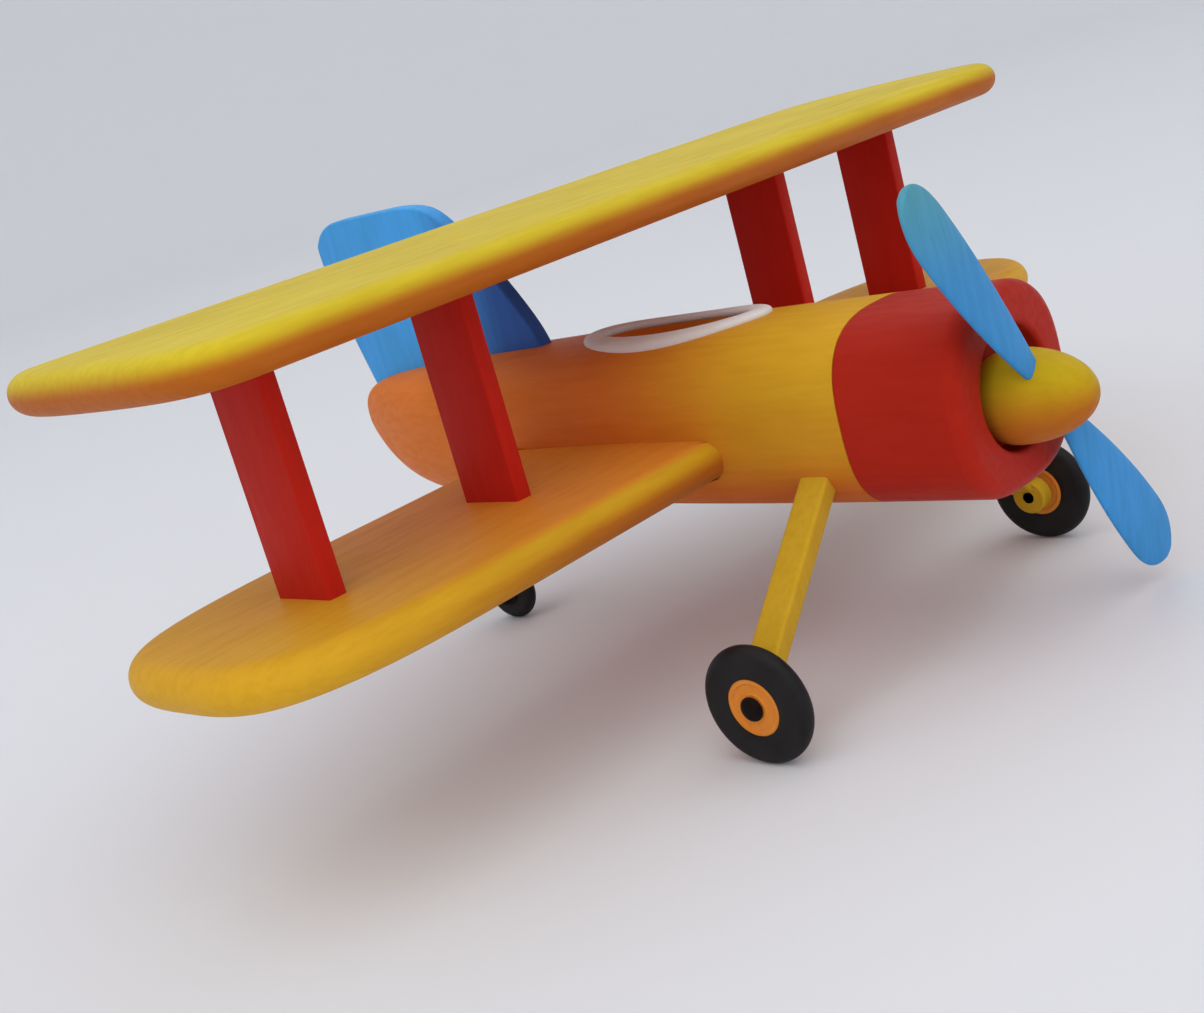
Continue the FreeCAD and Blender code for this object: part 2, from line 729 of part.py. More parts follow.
def build():
    block = fuselage_block("fuselage_block")
    nose_dowels = cowl_dowels()
    keep("cowl_dowels", group("cowl_dowels", nose_dowels))
    build_propeller()
    build_cowl(nose_dowels)

    cross_dowels = wing_dowels()
    keep("wing_dowels", group("wing_dowels", cross_dowels))
    struts = {}
    for name, side in (("right", RIGHT), ("left", LEFT)):
        for place in ("outer", "inner"):
            struts[name, place] = strut(f"strut_{name}_{place}", side, f"strut_{place}")
    keep("upper_wing", cut("upper_wing", wing_board("upper_board", "upper", (LEFT, RIGHT)),
                           list(struts.values())))
    for name, side in (("right", RIGHT), ("left", LEFT)):
        board = wing_board(f"lower_board_{name}", "lower", (side,))
        tools = [block, struts[name, "outer"], struts[name, "inner"]] + cross_dowels
        keep(f"lower_wing_{name}", cut(f"lower_wing_{name}", board, tools))

    leg_dowel_rods = []
    for name, side in (("right", RIGHT), ("left", LEFT)):
        pin = leg_dowel(name, side)
        leg_dowel_rods.append(pin)
        peg = axle_peg(name, side)
        main_wheel(name, side)
        keep(f"landing_leg_{name}",
             cut(f"landing_leg_{name}", leg_blank(name, side), [block, pin, peg]))
    keep("leg_dowels", group("leg_dowels", leg_dowel_rods))

    tail_wheel()
    tail_pin = keep("tail_axle_pin",
                    rod("tail_axle_pin", "Sizes.tail_pin_radius", "Sizes.fork_width",
                        ("Sizes.tail_station", "-Sizes.fork_width / 2",
                         "Sizes.tail_wheel_radius"), ALONG_Y))
    fork_dowel = keep("tail_fork_dowel",
                      rod("tail_fork_dowel", "Sizes.fork_dowel_radius",
                          "Sizes.fork_dowel_length",
                          ("Sizes.tail_station", "0",
                           "Sizes.fork_dowel_height - Sizes.fork_dowel_length / 2"),
                          ALONG_Z))
    keep("tail_fork", cut("tail_fork", tail_fork_blank(), [block, tail_pin, fork_dowel]))

    well = oval_block("cockpit_well", "Sizes.cockpit_half_length", "Sizes.cockpit_half_width",
                      "Sizes.cockpit_floor", "Sizes.cockpit_cut_height")
    slot = fin_mortise()
    fuselage = cut("fuselage", block,
                   [well, slot, fork_dowel] + nose_dowels + cross_dowels + leg_dowel_rods)
    keep("fuselage", fuselage)
    keep("tail_fin", cut("tail_fin", fin_plate(), [fuselage]))

    disc = oval_block("ring_disc", "Sizes.ring_half_length", "Sizes.ring_half_width",
                      "Sizes.cockpit_floor", "Sizes.cockpit_cut_height")
    draped = common("ring_draped", [disc, fuselage_block("ring_skin", size("ring_height"))])
    keep("cockpit_ring", cut("cockpit_ring", draped, [block, well]))


build()
doc.recompute()

for item in doc.Objects:
    if "Invalid" in item.State or "Error" in item.State:
        raise RuntimeError(f"{item.Label} failed: {item.State}")
for node, item in pieces.items():
    if item.Shape.isNull() or not item.Shape.isValid():
        raise RuntimeError(f"{node} has no valid shape")

os.makedirs("parts", exist_ok=True)
for node, item in pieces.items():
    item.Shape.exportStep(f"parts/{node}.step")
    print(node, len(item.Shape.Solids), round(item.Shape.Volume))
print(len(pieces), "nodes")
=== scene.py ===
import json
import math

import bmesh
import bpy
import numpy as np
from mathutils import Matrix, Vector


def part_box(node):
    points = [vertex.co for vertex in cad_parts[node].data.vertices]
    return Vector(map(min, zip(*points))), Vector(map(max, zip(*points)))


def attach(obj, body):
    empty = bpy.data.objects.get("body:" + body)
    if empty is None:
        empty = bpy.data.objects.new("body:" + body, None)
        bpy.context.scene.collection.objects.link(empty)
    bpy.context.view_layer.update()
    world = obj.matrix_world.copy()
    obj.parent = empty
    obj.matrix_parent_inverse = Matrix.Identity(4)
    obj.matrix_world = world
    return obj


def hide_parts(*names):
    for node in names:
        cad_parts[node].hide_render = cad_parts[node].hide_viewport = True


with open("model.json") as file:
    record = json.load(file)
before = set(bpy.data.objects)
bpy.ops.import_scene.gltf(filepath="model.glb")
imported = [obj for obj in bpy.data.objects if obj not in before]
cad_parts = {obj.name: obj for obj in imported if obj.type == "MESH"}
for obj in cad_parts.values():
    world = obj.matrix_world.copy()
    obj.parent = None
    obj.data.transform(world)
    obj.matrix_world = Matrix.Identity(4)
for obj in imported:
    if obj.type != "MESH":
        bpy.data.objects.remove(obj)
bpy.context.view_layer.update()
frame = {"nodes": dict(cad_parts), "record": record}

MM = 0.001
TAU = 2 * math.pi
AIRFRAME = "airframe"


# ---------------------------------------------------------------- meshes

def mesh_object(name, vertices, faces):
    """A linked mesh object whose faces all point outwards."""
    mesh = bpy.data.meshes.new(name)
    mesh.from_pydata([tuple(map(float, v)) for v in vertices], [], faces)
    work = bmesh.new()
    work.from_mesh(mesh)
    bmesh.ops.remove_doubles(work, verts=work.verts, dist=1e-7)
    bmesh.ops.recalc_face_normals(work, faces=work.faces)
    work.to_mesh(mesh)
    work.free()
    obj = bpy.data.objects.new(name, mesh)
    bpy.context.scene.collection.objects.link(obj)
    return obj


def smooth(obj, angle=35):
    """Smooth shading, with edges sharper than the angle left crisp."""
    obj.data.polygons.foreach_set("use_smooth", [True] * len(obj.data.polygons))
    obj.data.set_sharp_from_angle(angle=math.radians(angle))
    return obj


def loft(name, rings, around=False):
    """Skin over a list of equal rings, closed by fans, or back to the first ring."""
    count = len(rings[0])
    vertices = [point for ring in rings for point in ring]
    faces = []
    spans = len(rings) if around else len(rings) - 1
    for level in range(spans):
        low, high = level * count, ((level + 1) % len(rings)) * count
        for index in range(count):
            follower = (index + 1) % count
            faces.append((low + index, low + follower, high + follower, high + index))
    if not around:
        for first, ring in ((0, rings[0]), ((len(rings) - 1) * count, rings[-1])):
            hub = len(vertices)
            vertices.append(np.mean(ring, axis=0))
            for index in range(count):
                faces.append((first + index, first + (index + 1) % count, hub))
    return mesh_object(name, vertices, faces)


def superellipse(half_width, half_height, power, count):
    """Points round a superellipse, as two arrays."""
    angle = np.linspace(0, TAU, count, endpoint=False)
    across, up = np.cos(angle), np.sin(angle)
    return (half_width * np.sign(across) * np.abs(across) ** (2 / power),
            half_height * np.sign(up) * np.abs(up) ** (2 / power))


def lathe(profile, centre, axis, count=96):
    """Turn (along, radius) points about an axis through a centre; a closed profile makes a ring."""
    along, side, up = axis
    rings = []
    for station, radius in profile:
        ring = []
        for angle in np.linspace(0, TAU, count, endpoint=False):
            offset = side * math.cos(angle) + up * math.sin(angle)
            ring.append(np.array(centre + along * station + offset * radius))
        rings.append(ring)
    return rings


ABOUT_X = (Vector((1, 0, 0)), Vector((0, 1, 0)), Vector((0, 0, 1)))
ABOUT_Y = (Vector((0, 1, 0)), Vector((1, 0, 0)), Vector((0, 0, 1)))


def arc(centre, radius, start, end, count):
    """Points of an arc in a profile plane, angles in degrees."""
    angles = np.radians(np.linspace(start, end, count))
    return [(centre[0] + radius * math.cos(a), centre[1] + radius * math.sin(a)) for a in angles]


def bevel(obj, width, segments=4, angle=30):
    """Round the sharp edges, with the modifier applied."""
    work = bmesh.new()
    work.from_mesh(obj.data)
    limit = math.radians(angle)
    edges = [e for e in work.edges if len(e.link_faces) == 2 and e.calc_face_angle() > limit]
    bmesh.ops.bevel(work, geom=edges, offset=width, segments=segments, profile=0.5,
                    affect="EDGES", clamp_overlap=True)
    bmesh.ops.recalc_face_normals(work, faces=work.faces)
    work.to_mesh(obj.data)
    work.free()
    return obj


def boolean(obj, tool, operation):
    """Apply an exact boolean and delete the tool."""
    step = obj.modifiers.new("boolean", "BOOLEAN")
    step.operation = operation
    step.solver = "EXACT"
    step.object = tool
    graph = bpy.context.evaluated_depsgraph_get()
    result = bpy.data.meshes.new_from_object(obj.evaluated_get(graph))
    obj.modifiers.clear()
    obj.data = result
    bpy.data.objects.remove(tool)
    return obj


def plate(name, outline, thickness, place):
    """A flat closed outline given thickness both ways, put in place by a function."""
    half = thickness / 2
    count = len(outline)
    vertices = [place(p, -half) for p in outline] + [place(p, half) for p in outline]
    faces = [tuple(range(count))[::-1], tuple(range(count, 2 * count))]
    for index in range(count):
        follower = (index + 1) % count
        faces.append((index, follower, count + follower, count + index))
    return mesh_object(name, vertices, faces)


def rounded_path(guide, steps=6):
    """Catmull-Rom curve through the guide points, open between last and first."""
    points = [Vector(p) for p in guide]
    path = []
    for index in range(len(points) - 1):
        before = points[max(index - 1, 0)]
        start, end = points[index], points[index + 1]
        after = points[min(index + 2, len(points) - 1)]
        for step in range(steps):
            t = step / steps
            path.append(0.5 * (2 * start + (end - before) * t
                               + (2 * before - 5 * start + 4 * end - after) * t ** 2
                               + (3 * start - before - 3 * end + after) * t ** 3))
    path.append(points[-1])
    return [tuple(p) for p in path]


# ---------------------------------------------------------------- materials

# Sockets of the Mix node that are used for colours; it has others with the same names.
MIX_FACTOR, MIX_FIRST, MIX_SECOND, MIX_RESULT = 0, 6, 7, 2


class Nodes:
    """Short ways to add shader nodes to one material."""

    def __init__(self, name):
        self.material = bpy.data.materials.new(name)
        self.material.use_nodes = True
        self.tree = self.material.node_tree
        self.shader = self.tree.nodes["Principled BSDF"]
        self.coords = self.tree.nodes.new("ShaderNodeTexCoord")

    def node(self, kind, **settings):
        item = self.tree.nodes.new(kind)
        for key, value in settings.items():
            setattr(item, key, value)
        return item

    def link(self, source, target):
        self.tree.links.new(source, target)

    def noise(self, scale, detail, stretch=(1, 1, 1), roughness=0.5):
        mapping = self.node("ShaderNodeMapping")
        mapping.inputs["Scale"].default_value = stretch
        self.link(self.coords.outputs["Object"], mapping.inputs["Vector"])
        texture = self.node("ShaderNodeTexNoise")
        texture.inputs["Scale"].default_value = scale
        texture.inputs["Detail"].default_value = detail
        texture.inputs["Roughness"].default_value = roughness
        self.link(mapping.outputs["Vector"], texture.inputs["Vector"])
        return texture.outputs["Fac"]

    def ramp(self, source, low, high, dark, light):
        """Remap a value between two limits to two outputs, smoothly."""
        item = self.node("ShaderNodeMapRange", interpolation_type="SMOOTHSTEP")
        item.inputs["From Min"].default_value = low
        item.inputs["From Max"].default_value = high
        item.inputs["To Min"].default_value = dark
        item.inputs["To Max"].default_value = light
        self.link(source, item.inputs["Value"])
        return item.outputs["Result"]

    def mix(self, factor, first, second, blend="MIX"):
        """Mix two colours; each input may be a socket or a plain value."""
        item = self.node("ShaderNodeMix", data_type="RGBA", blend_type=blend)
        for value, index in ((factor, MIX_FACTOR), (first, MIX_FIRST), (second, MIX_SECOND)):
            if hasattr(value, "is_linked"):
                self.link(value, item.inputs[index])
            else:
                item.inputs[index].default_value = value
        return item.outputs[MIX_RESULT]

    def bump(self, height, distance, strength, below=None):
        item = self.node("ShaderNodeBump")
        item.inputs["Distance"].default_value = distance
        item.inputs["Strength"].default_value = strength
        self.link(height, item.inputs["Height"])
        if below is not None:
            self.link(below, item.inputs["Normal"])
        return item.outputs["Normal"]


def srgb(red, green, blue):
    """A colour given as 0-255 screen values, as linear RGBA."""
    linear = []
    for value in (red, green, blue):
        share = value / 255
        linear.append(share / 12.92 if share <= 0.04045 else ((share + 0.055) / 1.055) ** 2.4)
    return (*linear, 1.0)


def stretched(axis, along, across):
    """Mapping scale that differs along one axis."""
    return tuple(along if letter == axis else across for letter in "XYZ")


PAINT_GLOSS = 0.18
CLOUD_SCALE = 22
GRAIN_SCALE = 55
BRUSH_SCALE = 1600
PAINT_SQUEEZE = 9
CLOUD_SHADE = (0.92, 0.89, 0.86, 1)
STREAK_SHADE = (0.95, 0.93, 0.90, 1)
# range of the normal's forward lean over which the painted highlight takes over
FORWARD_HIGHLIGHT_RANGE = (0.1, 0.7)
GRAIN_DEPTH = 0.2 * MM
BRUSH_DEPTH = 0.05 * MM


def painted_wood(name, top, side, grain_axis, roughness=0.5, up=(-0.2, 0.85), front=None,
                 shift=None):
    """Brushed satin paint over wood, partly painted light: one tone where it looks up, another
    elsewhere.

    up is the range of the normal's height over which the first tone takes over; the first
    tone stands partly for painted light from above, the second partly for painted shade on
    sides and undersides. front is a painted highlight, a third tone for upper surfaces that
    also look forwards. shift is (axis, from, to, tone), a tone that takes over along the
    object; an axis in lower case counts both ways.
    """
    nodes = Nodes(name)
    split = nodes.node("ShaderNodeSeparateXYZ")
    nodes.link(nodes.coords.outputs["Normal"], split.inputs["Vector"])
    # Painted light and shade: the upper tone and the other are mixed by the normal's height, with a
    # painted highlight where the normal also looks forwards.
    lit_top_and_highlight = top
    if front:
        lit_top_and_highlight = nodes.mix(nodes.ramp(split.outputs["X"], *FORWARD_HIGHLIGHT_RANGE, 0.0, 1.0), top, front)
    base = nodes.mix(nodes.ramp(split.outputs["Z"], *up, 0.0, 1.0), side, lit_top_and_highlight)
    if shift:
        axis, start, end, tone = shift
        place = nodes.node("ShaderNodeSeparateXYZ")
        nodes.link(nodes.coords.outputs["Object"], place.inputs["Vector"])
        distance = place.outputs[axis.upper()]
        if axis.islower():
            both = nodes.node("ShaderNodeMath", operation="ABSOLUTE")
            nodes.link(distance, both.inputs[0])
            distance = both.outputs[0]
        base = nodes.mix(nodes.ramp(distance, start, end, 0.0, 1.0), base, tone)
    cloud = nodes.ramp(nodes.noise(CLOUD_SCALE, 3), 0.3, 0.7, 0.0, 1.0)
    grain = nodes.noise(GRAIN_SCALE, 5, stretched(grain_axis, 1, PAINT_SQUEEZE), 0.6)
    fine = nodes.noise(BRUSH_SCALE, 2)
    darker = nodes.mix(1.0, base, CLOUD_SHADE, "MULTIPLY")
    mottled = nodes.mix(cloud, darker, base)
    streaked = nodes.mix(1.0, mottled, STREAK_SHADE, "MULTIPLY")
    colour = nodes.mix(nodes.ramp(grain, 0.35, 0.6, 0.0, 1.0), streaked, mottled)
    nodes.link(colour, nodes.shader.inputs["Base Color"])
    nodes.link(nodes.ramp(grain, 0.3, 0.7, roughness + 0.08, roughness - 0.04),
               nodes.shader.inputs["Roughness"])
    nodes.shader.inputs["Specular IOR Level"].default_value = PAINT_GLOSS
    nodes.shader.inputs["Specular Tint"].default_value = top
    relief = nodes.bump(grain, GRAIN_DEPTH, 0.3)
    nodes.link(nodes.bump(fine, BRUSH_DEPTH, 0.3, relief), nodes.shader.inputs["Normal"])
    return nodes.material


def bare_wood(name, grain_axis):
    """Unpainted hardwood with grain along one axis."""
    dark, light = srgb(188, 143, 92), srgb(224, 186, 134)
    nodes = Nodes(name)
    grain = nodes.noise(60, 6, stretched(grain_axis, 1, 14), 0.6)
    colour = nodes.mix(nodes.ramp(grain, 0.3, 0.7, 0.0, 1.0), dark, light)
    nodes.link(colour, nodes.shader.inputs["Base Color"])
    nodes.link(nodes.ramp(grain, 0.3, 0.7, 0.7, 0.55), nodes.shader.inputs["Roughness"])
    nodes.link(nodes.bump(grain, GRAIN_DEPTH, 0.5), nodes.shader.inputs["Normal"])
    return nodes.material


def rubber(name):
    """Matt black rubber, faintly clouded and pitted."""
    nodes = Nodes(name)
    cloud = nodes.ramp(nodes.noise(120, 4), 0.35, 0.7, 0.0, 1.0)
    fine = nodes.noise(2600, 2)
    colour = nodes.mix(cloud, srgb(22, 20, 21), srgb(36, 32, 33))
    nodes.link(colour, nodes.shader.inputs["Base Color"])
    nodes.link(nodes.ramp(cloud, 0.0, 1.0, 0.5, 0.64), nodes.shader.inputs["Roughness"])
    nodes.shader.inputs["Specular IOR Level"].default_value = 0.2
    nodes.link(nodes.bump(fine, 0.04 * MM, 0.4), nodes.shader.inputs["Normal"])
    return nodes.material


def turned_metal(name, colour, axis):
    """Metal with fine tool lines round an axis."""
    nodes = Nodes(name)
    lines = nodes.noise(900, 3, stretched(axis, 12, 1))
    shaded = tuple(channel * 0.8 for channel in colour[:3]) + (1,)
    tone = nodes.mix(nodes.ramp(lines, 0.3, 0.7, 0.0, 1.0), colour, shaded)
    nodes.link(tone, nodes.shader.inputs["Base Color"])
    nodes.shader.inputs["Metallic"].default_value = 1.0
    nodes.link(nodes.ramp(lines, 0.3, 0.7, 0.28, 0.4), nodes.shader.inputs["Roughness"])
    nodes.link(nodes.bump(lines, 0.02 * MM, 0.3), nodes.shader.inputs["Normal"])
    return nodes.material


# Each paint's first colour is its tone where it looks up and its second elsewhere; where they
# differ, the upper tone is partly painted light from above and the other partly painted shade.
AMBER = painted_wood("amber_paint_x", srgb(220, 168, 42), srgb(214, 108, 40), "X",
                     up=(-0.7, 0.3), shift=("X", 0.062, -0.01, srgb(230, 124, 46)))
# front is a painted highlight along the leading edge; the tone that takes over towards the tips
# leaves the inboard wing more orange, partly painted shade under the upper wing.
ORANGE = painted_wood("orange_paint_y", srgb(244, 156, 56), srgb(192, 110, 36), "Y",
                      front=srgb(222, 174, 40), shift=("y", 0.06, 0.16, srgb(226, 172, 44)))
YELLOW_WING = painted_wood("yellow_paint_y", srgb(220, 196, 44), srgb(194, 106, 36), "Y")
YELLOW = painted_wood("yellow_paint_z", srgb(212, 170, 46), srgb(208, 162, 44), "Z")
SPINNER_YELLOW = painted_wood("yellow_paint_x", srgb(204, 172, 32), srgb(198, 112, 36), "X",
                              up=(-0.6, 0.7))
RED = painted_wood("red_paint_x", srgb(176, 42, 29), srgb(184, 43, 29), "X")
RED_STRUT = painted_wood("red_paint_z", srgb(200, 46, 34), srgb(200, 42, 31), "Z")
# The darker blue that takes over towards the fin's front is painted shade of the upper wing.
BLUE_FIN = painted_wood("blue_paint_z", srgb(82, 174, 244), srgb(78, 170, 244), "Z",
                        shift=("X", -0.08, -0.05, srgb(62, 106, 190)))
BLUE_BLADE = painted_wood("blue_paint_blade", srgb(74, 160, 222), srgb(68, 152, 220), "Z",
                          shift=("Z", 0.095, 0.125, srgb(90, 168, 190)))
WHITE = painted_wood("white_paint", srgb(238, 235, 233), srgb(226, 222, 220), "X")
HUB = painted_wood("hub_paint", srgb(236, 146, 60), srgb(238, 148, 60), "Z")
BLACK = painted_wood("black_paint", srgb(32, 25, 24), srgb(28, 22, 21), "Z", roughness=0.56)
DOWEL_X = bare_wood("dowel_wood_x", "X")
DOWEL_Y = bare_wood("dowel_wood_y", "Y")
DOWEL_Z = bare_wood("dowel_wood_z", "Z")
RUBBER = rubber("tyre_rubber")
STEEL = turned_metal("steel_rod", (0.56, 0.56, 0.58, 1), "X")
BRASS = turned_metal("brass_bush", (0.78, 0.58, 0.25, 1), "X")


def finish_piece(obj, material, body, slot, *nodes):
    """Give a new piece its paint, its body and the CAD nodes it stands for; slot is not used."""
    obj.data.materials.clear()
    obj.data.materials.append(material)
    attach(obj, body)
    if nodes:
        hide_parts(*nodes)
    return obj


# ---------------------------------------------------------------- fuselage

fuselage_low, fuselage_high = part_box("fuselage")
FRONT = fuselage_high.x
LENGTH = fuselage_high.x - fuselage_low.x
HALF_WIDTH = fuselage_high.y
TOP = fuselage_high.z
BOTTOM = fuselage_low.z
SECTION_POWER = 2.8
WIDTH_TAPER = 0.72
TOP_FALL = 4.4 * MM
BOTTOM_RISE = 5.6 * MM
TAIL_HEIGHT = 71.8 * MM
LAST_STATION = 0.9995  # just short of the tail's point, where the section closes


def fade(along, power, bluntness):
    """1 along most of the fuselage, falling to 0 at the tail."""
    return (1 - along ** power) ** bluntness


def fuselage_section(x):
    """Half width, middle height and half height of the fuselage at a station."""
    along = min(max((FRONT - x) / LENGTH, 0.0), 1.0) * LAST_STATION
    body_fade = fade(along, 11.2, 0.8)
    top_fade = fade(along, 18, 0.42)
    half_width = HALF_WIDTH * (1 - WIDTH_TAPER * along ** 3) * body_fade
    top = TAIL_HEIGHT + (TOP - TOP_FALL * along ** 3 - TAIL_HEIGHT) * top_fade
    bottom = TAIL_HEIGHT - (TAIL_HEIGHT - BOTTOM - BOTTOM_RISE * along ** 2) * body_fade
    return half_width, (top + bottom) / 2, (top - bottom) / 2


def fuselage_top(x, y):
    """Height of the fuselage's back over a point of its plan."""
    half_width, middle, half_height = fuselage_section(x)
    across = min(abs(y) / half_width, 1.0)
    return middle + half_height * (1 - across ** SECTION_POWER) ** (1 / SECTION_POWER)


WELL_HALF_LENGTH = 26.0 * MM
WELL_HALF_WIDTH = 9.6 * MM
WELL_ROUND = 2.0 * MM
WELL_CUT_HEIGHT = 40 * MM
WELL_FLOOR = frame["record"]["mounts"][0]["pos_m"][2]
ring_low, ring_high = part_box("cockpit_ring")
COCKPIT = (ring_low.x + ring_high.x) / 2


def build_fuselage():
    """Rounded block with closer sections towards the tail, and the cockpit well cut in it."""
    rings = []
    for share in np.linspace(0, 1, 130):
        x = FRONT - LENGTH * (1 - (1 - share) ** 1.7)
        half_width, middle, half_height = fuselage_section(x)
        across, up = superellipse(half_width, half_height, SECTION_POWER, 128)
        rings.append([(x, y, middle + z) for y, z in zip(across, up)])
    body = loft("fuselage_body", rings)
    levels = [(0.0, WELL_ROUND)]
    levels += [(WELL_ROUND * (1 - math.cos(a)), WELL_ROUND * (1 - math.sin(a)))
               for a in np.linspace(0.1, math.pi / 2, 6)]
    levels.append((WELL_CUT_HEIGHT, 0.0))
    well = []
    for height, inset in levels:
        across, up = superellipse(WELL_HALF_LENGTH - inset, WELL_HALF_WIDTH - inset, 2, 72)
        well.append([(COCKPIT + x, y, WELL_FLOOR + height) for x, y in zip(across, up)])
    boolean(body, loft("well_tool", well), "DIFFERENCE")
    smooth(body)
    finish_piece(body, AMBER, AIRFRAME, "amber_paint", "fuselage")


def build_coaming():
    """White band draped over the fuselage's back, rounded across its width."""
    half_length = (ring_high.x - ring_low.x) / 2
    half_width = ring_high.y
    lap = 0.4 * MM
    inner_length, inner_width = WELL_HALF_LENGTH - lap, WELL_HALF_WIDTH - lap
    rise, sink = 1.75 * MM, 1.2 * MM
    across, up = superellipse(1, 1, 2.3, 28)
    rings = []
    for angle in np.linspace(0, TAU, 144, endpoint=False):
        ring = []
        for p, q in zip(across, up):
            share = (p + 1) / 2
            x = COCKPIT + (inner_length + (half_length - inner_length) * share) * math.cos(angle)
            y = (inner_width + (half_width - inner_width) * share) * math.sin(angle)
            height = rise * q if q > 0 else sink * q
            ring.append((x, y, fuselage_top(x, y) + height))
        rings.append(ring)
    ring = smooth(loft("cockpit_coaming", rings, around=True), 60)
    finish_piece(ring, WHITE, AIRFRAME, "white_paint", "cockpit_ring")


# ---------------------------------------------------------------- cowl

def build_cowl():
    """Rounded-square block whose front is dished in an oval round the spinner."""
    low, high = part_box("cowl")
    half_width, middle = high.y, (low.z + high.z) / 2
    half_height = (high.z - low.z) / 2
    front, back = high.x, low.x
    edge, lip = 4.2 * MM, 1.5 * MM
    mouth_width, mouth_height = 15.8 * MM, 15.2 * MM
    floor = front - 8.0 * MM
    corner, cut = 1.5 * MM, 0.4 * MM
    chamfer = 0.3 * MM
    outer = [(back, half_height * 0.9), (back, chamfer), (back + chamfer, 0.0)]
    outer += [(front - edge + x, edge - y) for x, y in arc((0, 0), edge, 90, 0, 14)]
    mouth = [(front - lip + x, -lip + y) for x, y in arc((0, 0), lip, 0, 90, 8)]
    mouth += [(floor + corner, 0.0), (floor + cut, cut), (floor, corner),
              (floor, mouth_height * 0.7)]
    rings = []
    for profile, wide, tall, power in ((outer, half_width, half_height, SECTION_POWER),
                                       (mouth, mouth_width, mouth_height, 2)):
        for x, inset in profile:
            across, up = superellipse(wide - inset, tall - inset, power, 160)
            rings.append([(x, y, middle + z) for y, z in zip(across, up)])
    cowl = smooth(loft("engine_cowl", rings), 40)
    finish_piece(cowl, RED, AIRFRAME, "red_paint", "cowl")


# ---------------------------------------------------------------- wings

CROWN = 0.5 * MM
SHRINKS = (0.85, 0.65, 0.45, 0.25, 0.1, 0.03)  # sizes of the rings that close a board's faces
UPPER_TIP, UPPER_TIP_POWER = 27 * MM, 3.8
LOWER_TIP, LOWER_TIP_POWER = 76 * MM, 3.2
ROOT_DEPTH = 6 * MM


def tip_arc(centre, half_chord, inner, half_span, power, side, count=60):
    """Superellipse round one wing tip, leading edge first."""
    points = []
    for angle in np.linspace(math.pi / 2, -math.pi / 2, 2 * count + 1):
        across = math.copysign(abs(math.sin(angle)) ** (2 / power), angle)
        out = abs(math.cos(angle)) ** (2 / power)
        points.append((centre + half_chord * across, side * (inner + (half_span - inner) * out)))
    return points


def between(start, end, count):
    """Points of a straight run, without its two ends."""
    return [tuple(np.array(start) + (np.array(end) - np.array(start)) * share)
            for share in np.linspace(0, 1, count + 2)[1:-1]]


def inward_normals(outline):
    """Unit normals into a convex outline, from its neighbours on both sides."""
    points = np.array(outline)
    along = np.roll(points, -1, axis=0) - np.roll(points, 1, axis=0)
    normals = np.stack([-along[:, 1], along[:, 0]], axis=1)
    normals /= np.linalg.norm(normals, axis=1)[:, None]
    towards = points.mean(axis=0) - points
    if (normals * towards).sum() < 0:
        normals = -normals
    return points, normals


def wing_board(name, outline, half_chord, middle, half_thick):
    """A board rounded all round its outline, its two faces barely crowned."""
    points, normals = inward_normals(outline)
    centre = points.mean(axis=0)
    shrink_y = half_chord / (np.ptp(points[:, 1]) / 2)
    rings = []
    for angle in np.linspace(-90, 90, 25):
        turn = math.radians(angle)
        ring = points + normals * half_thick * (1 - math.cos(turn))
        hollow = CROWN * ((ring[:, 0] - centre[0]) / half_chord) ** 2 * math.sin(turn)
        heights = middle + half_thick * math.sin(turn) - hollow
        rings.append(np.column_stack([ring, heights]))
    edge = points + normals * half_thick - centre
    for sign in (1, -1):
        caps = []
        for share in SHRINKS:
            ring = np.column_stack([edge[:, 0] * share,
                                    edge[:, 1] * (1 - (1 - share) * shrink_y)]) + centre
            hollow = CROWN * ((ring[:, 0] - centre[0]) / half_chord) ** 2
            caps.append(np.column_stack([ring, middle + sign * (half_thick - hollow)]))
        rings = rings + caps if sign > 0 else caps[::-1] + rings
    return smooth(loft(name, rings), 60)


def build_upper_wing():
    """One board with two rounded tips."""
    low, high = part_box("upper_wing")
    centre, half_chord = (low.x + high.x) / 2, (high.x - low.x) / 2
    middle, half_thick = (low.z + high.z) / 2, (high.z - low.z) / 2
    port, starboard = [tip_arc(centre, half_chord, high.y - UPPER_TIP, high.y,
                               UPPER_TIP_POWER, side) for side in (1, -1)]
    starboard.reverse()
    outline = port + between(port[-1], starboard[0], 40)
    outline += starboard + between(starboard[-1], port[0], 40)
    wing = wing_board("upper_wing_board", outline, half_chord, middle, half_thick)
    finish_piece(wing, YELLOW_WING, AIRFRAME, "yellow_paint", "upper_wing")


def build_lower_wing(name, side):
    """Board from inside the fuselage's flank to a long rounded tip."""
    low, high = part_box(f"lower_wing_{name}")
    centre, half_chord = (low.x + high.x) / 2, (high.x - low.x) / 2
    middle, half_thick = (low.z + high.z) / 2, (high.z - low.z) / 2
    half_span = max(abs(low.y), abs(high.y))
    tip = tip_arc(centre, half_chord, half_span - LOWER_TIP, half_span, LOWER_TIP_POWER, side)
    root = side * (HALF_WIDTH - ROOT_DEPTH)
    front, back = (centre + half_chord, root), (centre - half_chord, root)
    outline = [front] + between(front, tip[0], 16) + tip + between(tip[-1], back, 16) + [back]
    outline += between(back, front, 24)
    wing = wing_board(f"lower_wing_{name}_board", outline, half_chord, middle, half_thick)
    finish_piece(wing, ORANGE, AIRFRAME, "orange_paint", f"lower_wing_{name}")


